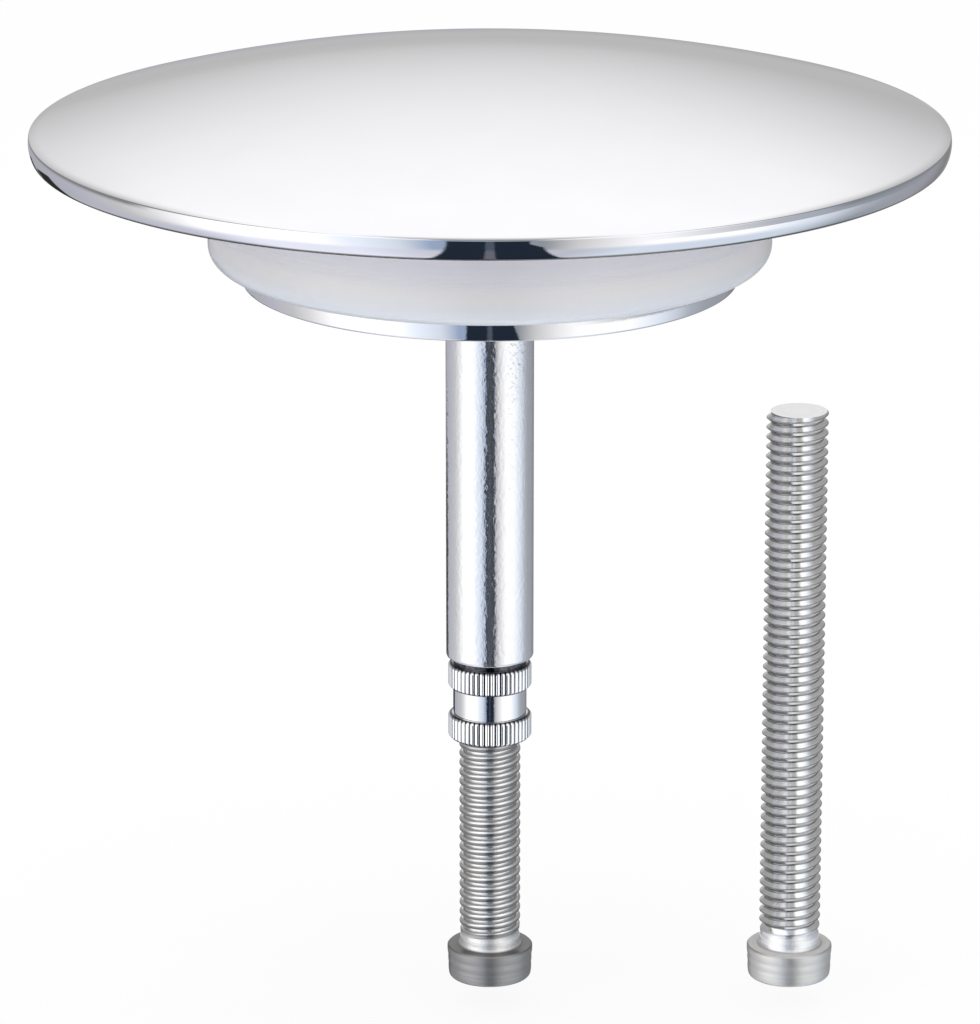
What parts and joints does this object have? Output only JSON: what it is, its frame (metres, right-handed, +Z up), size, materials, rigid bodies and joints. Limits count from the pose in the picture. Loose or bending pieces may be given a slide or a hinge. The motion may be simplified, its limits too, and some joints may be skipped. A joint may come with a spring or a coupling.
{
  "type": "drain stopper",
  "caption": "Mushroom drain stopper: dished chrome lid over a silicone seal, on a guided stem whose lock nut and adjusting screw set its height; a longer spare screw stands beside it.",
  "frame": {"origin": "on the stem's axis at the underside of the seal retainer, where the guided stem begins", "axes": "+Z up along the stem, through the lid; +X towards the spare screw; -Y towards the viewer of the picture"},
  "size_m": [0.072, 0.072, 0.0758],
  "materials": {
    "chrome": "mirror polished plating",
    "brass": "turned, bare",
    "silicone": "moulded, milky translucent, satin",
    "screw_steel": "turned, grey",
    "spare_screw_steel": "turned, bright"
  },
  "bodies": {
    "stopper": {"lid": "chrome", "lid_stud": "brass", "seal_ring": "silicone", "seal_retainer": "chrome", "stem": "chrome"},
    "nut": {"lock_nut": "chrome"},
    "screw": {"adjusting_screw": "screw_steel"},
    "spare": {"spare_screw": "spare_screw_steel"}
  },
  "joints": [
    {"name": "nut_turn", "type": "hinge", "parent": "stopper", "child": "nut", "pos_m": [0, 0, -0.03135], "axis": [0, 0, 1], "range_deg": [-1080, 7200]},
    {"name": "screw_feed", "type": "slide", "parent": "nut", "child": "screw", "axis": [0, 0, 1], "range_m": [-0.0024, 0.016]},
    {"name": "spare_place", "type": "slide", "parent": "stopper", "child": "spare", "axis": [1, 0, 0], "range_m": [0, 0.03]}
  ],
  "couplings": [
    {"joint": "nut_turn", "follows": "screw_feed", "rad_per_m": 7854}
  ]
}
